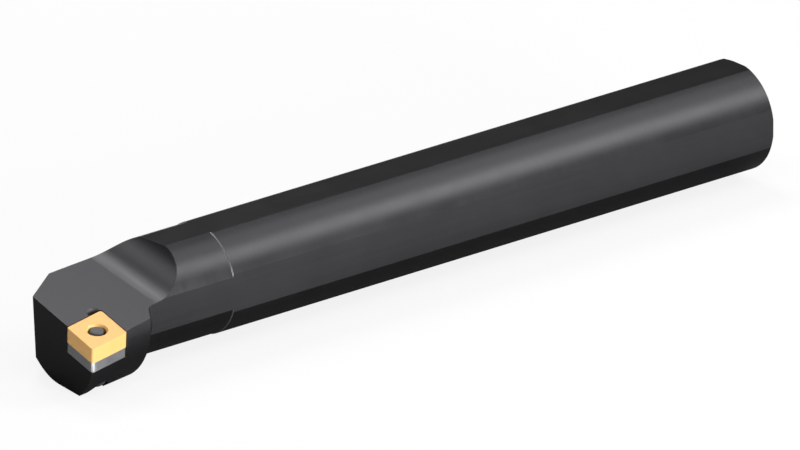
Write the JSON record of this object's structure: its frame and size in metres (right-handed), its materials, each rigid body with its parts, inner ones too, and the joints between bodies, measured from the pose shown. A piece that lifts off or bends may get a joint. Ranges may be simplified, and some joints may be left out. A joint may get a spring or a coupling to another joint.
{
  "type": "indexable boring bar",
  "caption": "Round steel boring bar with flats, an offset head and a coated rhombic carbide insert held by a lever, for turning inside bores on a lathe.",
  "frame": {"origin": "centre of the flat back end of the shank, on the bar's axis", "axes": "+X along the shank's axis out of the back end, so the cutting head is at -X; +Z out of the top flat, the side the insert faces; the cutting nose is on the -Y side"},
  "size_m": [0.25, 0.038, 0.0325],
  "materials": {
    "bar": "hardened alloy steel, ground and milled, then black oxide",
    "insert": "cemented carbide with a golden vapour-deposited coating",
    "shim": "bare ground cemented carbide",
    "shim_pin": "rolled spring steel, phosphated",
    "lever": "cast and hardened steel, phosphated",
    "lever_screw": "turned steel, black oxide"
  },
  "bodies": {
    "bar": {"bar": "bar", "insert": "insert", "shim": "shim", "shim_pin": "shim_pin"},
    "lever": {"lever": "lever"},
    "lever_screw": {"lever_screw": "lever_screw"}
  },
  "joints": [
    {"name": "lever_screw_turn", "type": "hinge", "parent": "bar", "child": "lever_screw", "pos_m": [-0.23722, -0.00596, -0.01118], "axis": [-0.1029, -0.1736, 0.9794], "range_deg": [0, 130]},
    {"name": "lever_rock", "type": "hinge", "parent": "bar", "child": "lever", "pos_m": [-0.2416, -0.01269, -0.01283], "axis": [0.8388, -0.5444, -0.0084], "range_deg": [0, 3.58]}
  ],
  "couplings": [
    {"joint": "lever_screw_turn", "follows": "lever_rock", "ratio": 36.3}
  ]
}
